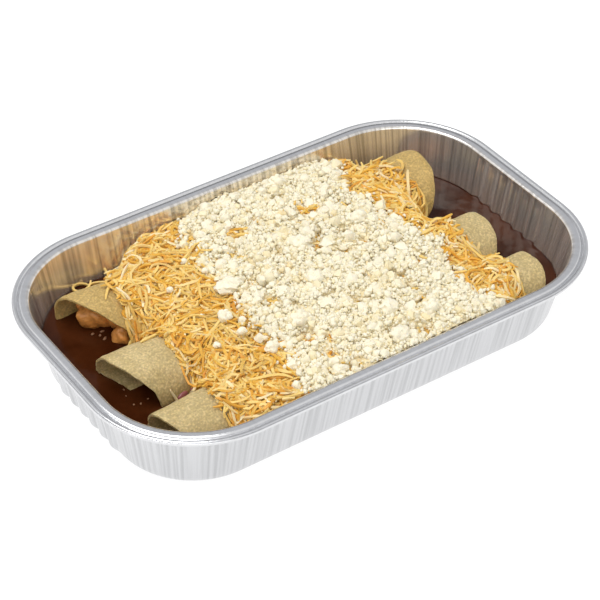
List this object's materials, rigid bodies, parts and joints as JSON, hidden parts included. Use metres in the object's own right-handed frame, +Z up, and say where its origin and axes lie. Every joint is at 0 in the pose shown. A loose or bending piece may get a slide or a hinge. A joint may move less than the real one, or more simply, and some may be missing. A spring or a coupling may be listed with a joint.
{
  "type": "enchiladas in a foil tray",
  "caption": "Rolled corn tortilla enchiladas in red sauce, topped with shredded and crumbled cheese, in a rectangular foil tray with a curled rim.",
  "frame": {"origin": "on the surface that the tray stands on, under the middle of its rim", "axes": "+X along the rolls and the tray's long side, +Y across them, +Z up"},
  "size_m": [0.2122, 0.1332, 0.0381],
  "materials": {
    "tray_foil": "satin, finely brushed",
    "red_sauce": "thick dark red-brown sauce, glossy",
    "corn_tortilla": "matte, fine speckle",
    "chicken_filling": "moist cooked chicken",
    "shredded_cheese": "waxy, soft",
    "crumbled_cheese": "matte, crumbly"
  },
  "bodies": {
    "root": {"tray": "tray_foil", "sauce": "red_sauce", "tortilla_1": "corn_tortilla", "tortilla_2": "corn_tortilla", "tortilla_3": "corn_tortilla", "filling_1": "chicken_filling", "filling_2": "chicken_filling", "filling_3": "chicken_filling", "shredded_cheese": "shredded_cheese", "crumbled_cheese": "crumbled_cheese"}
  },
  "joints": []
}
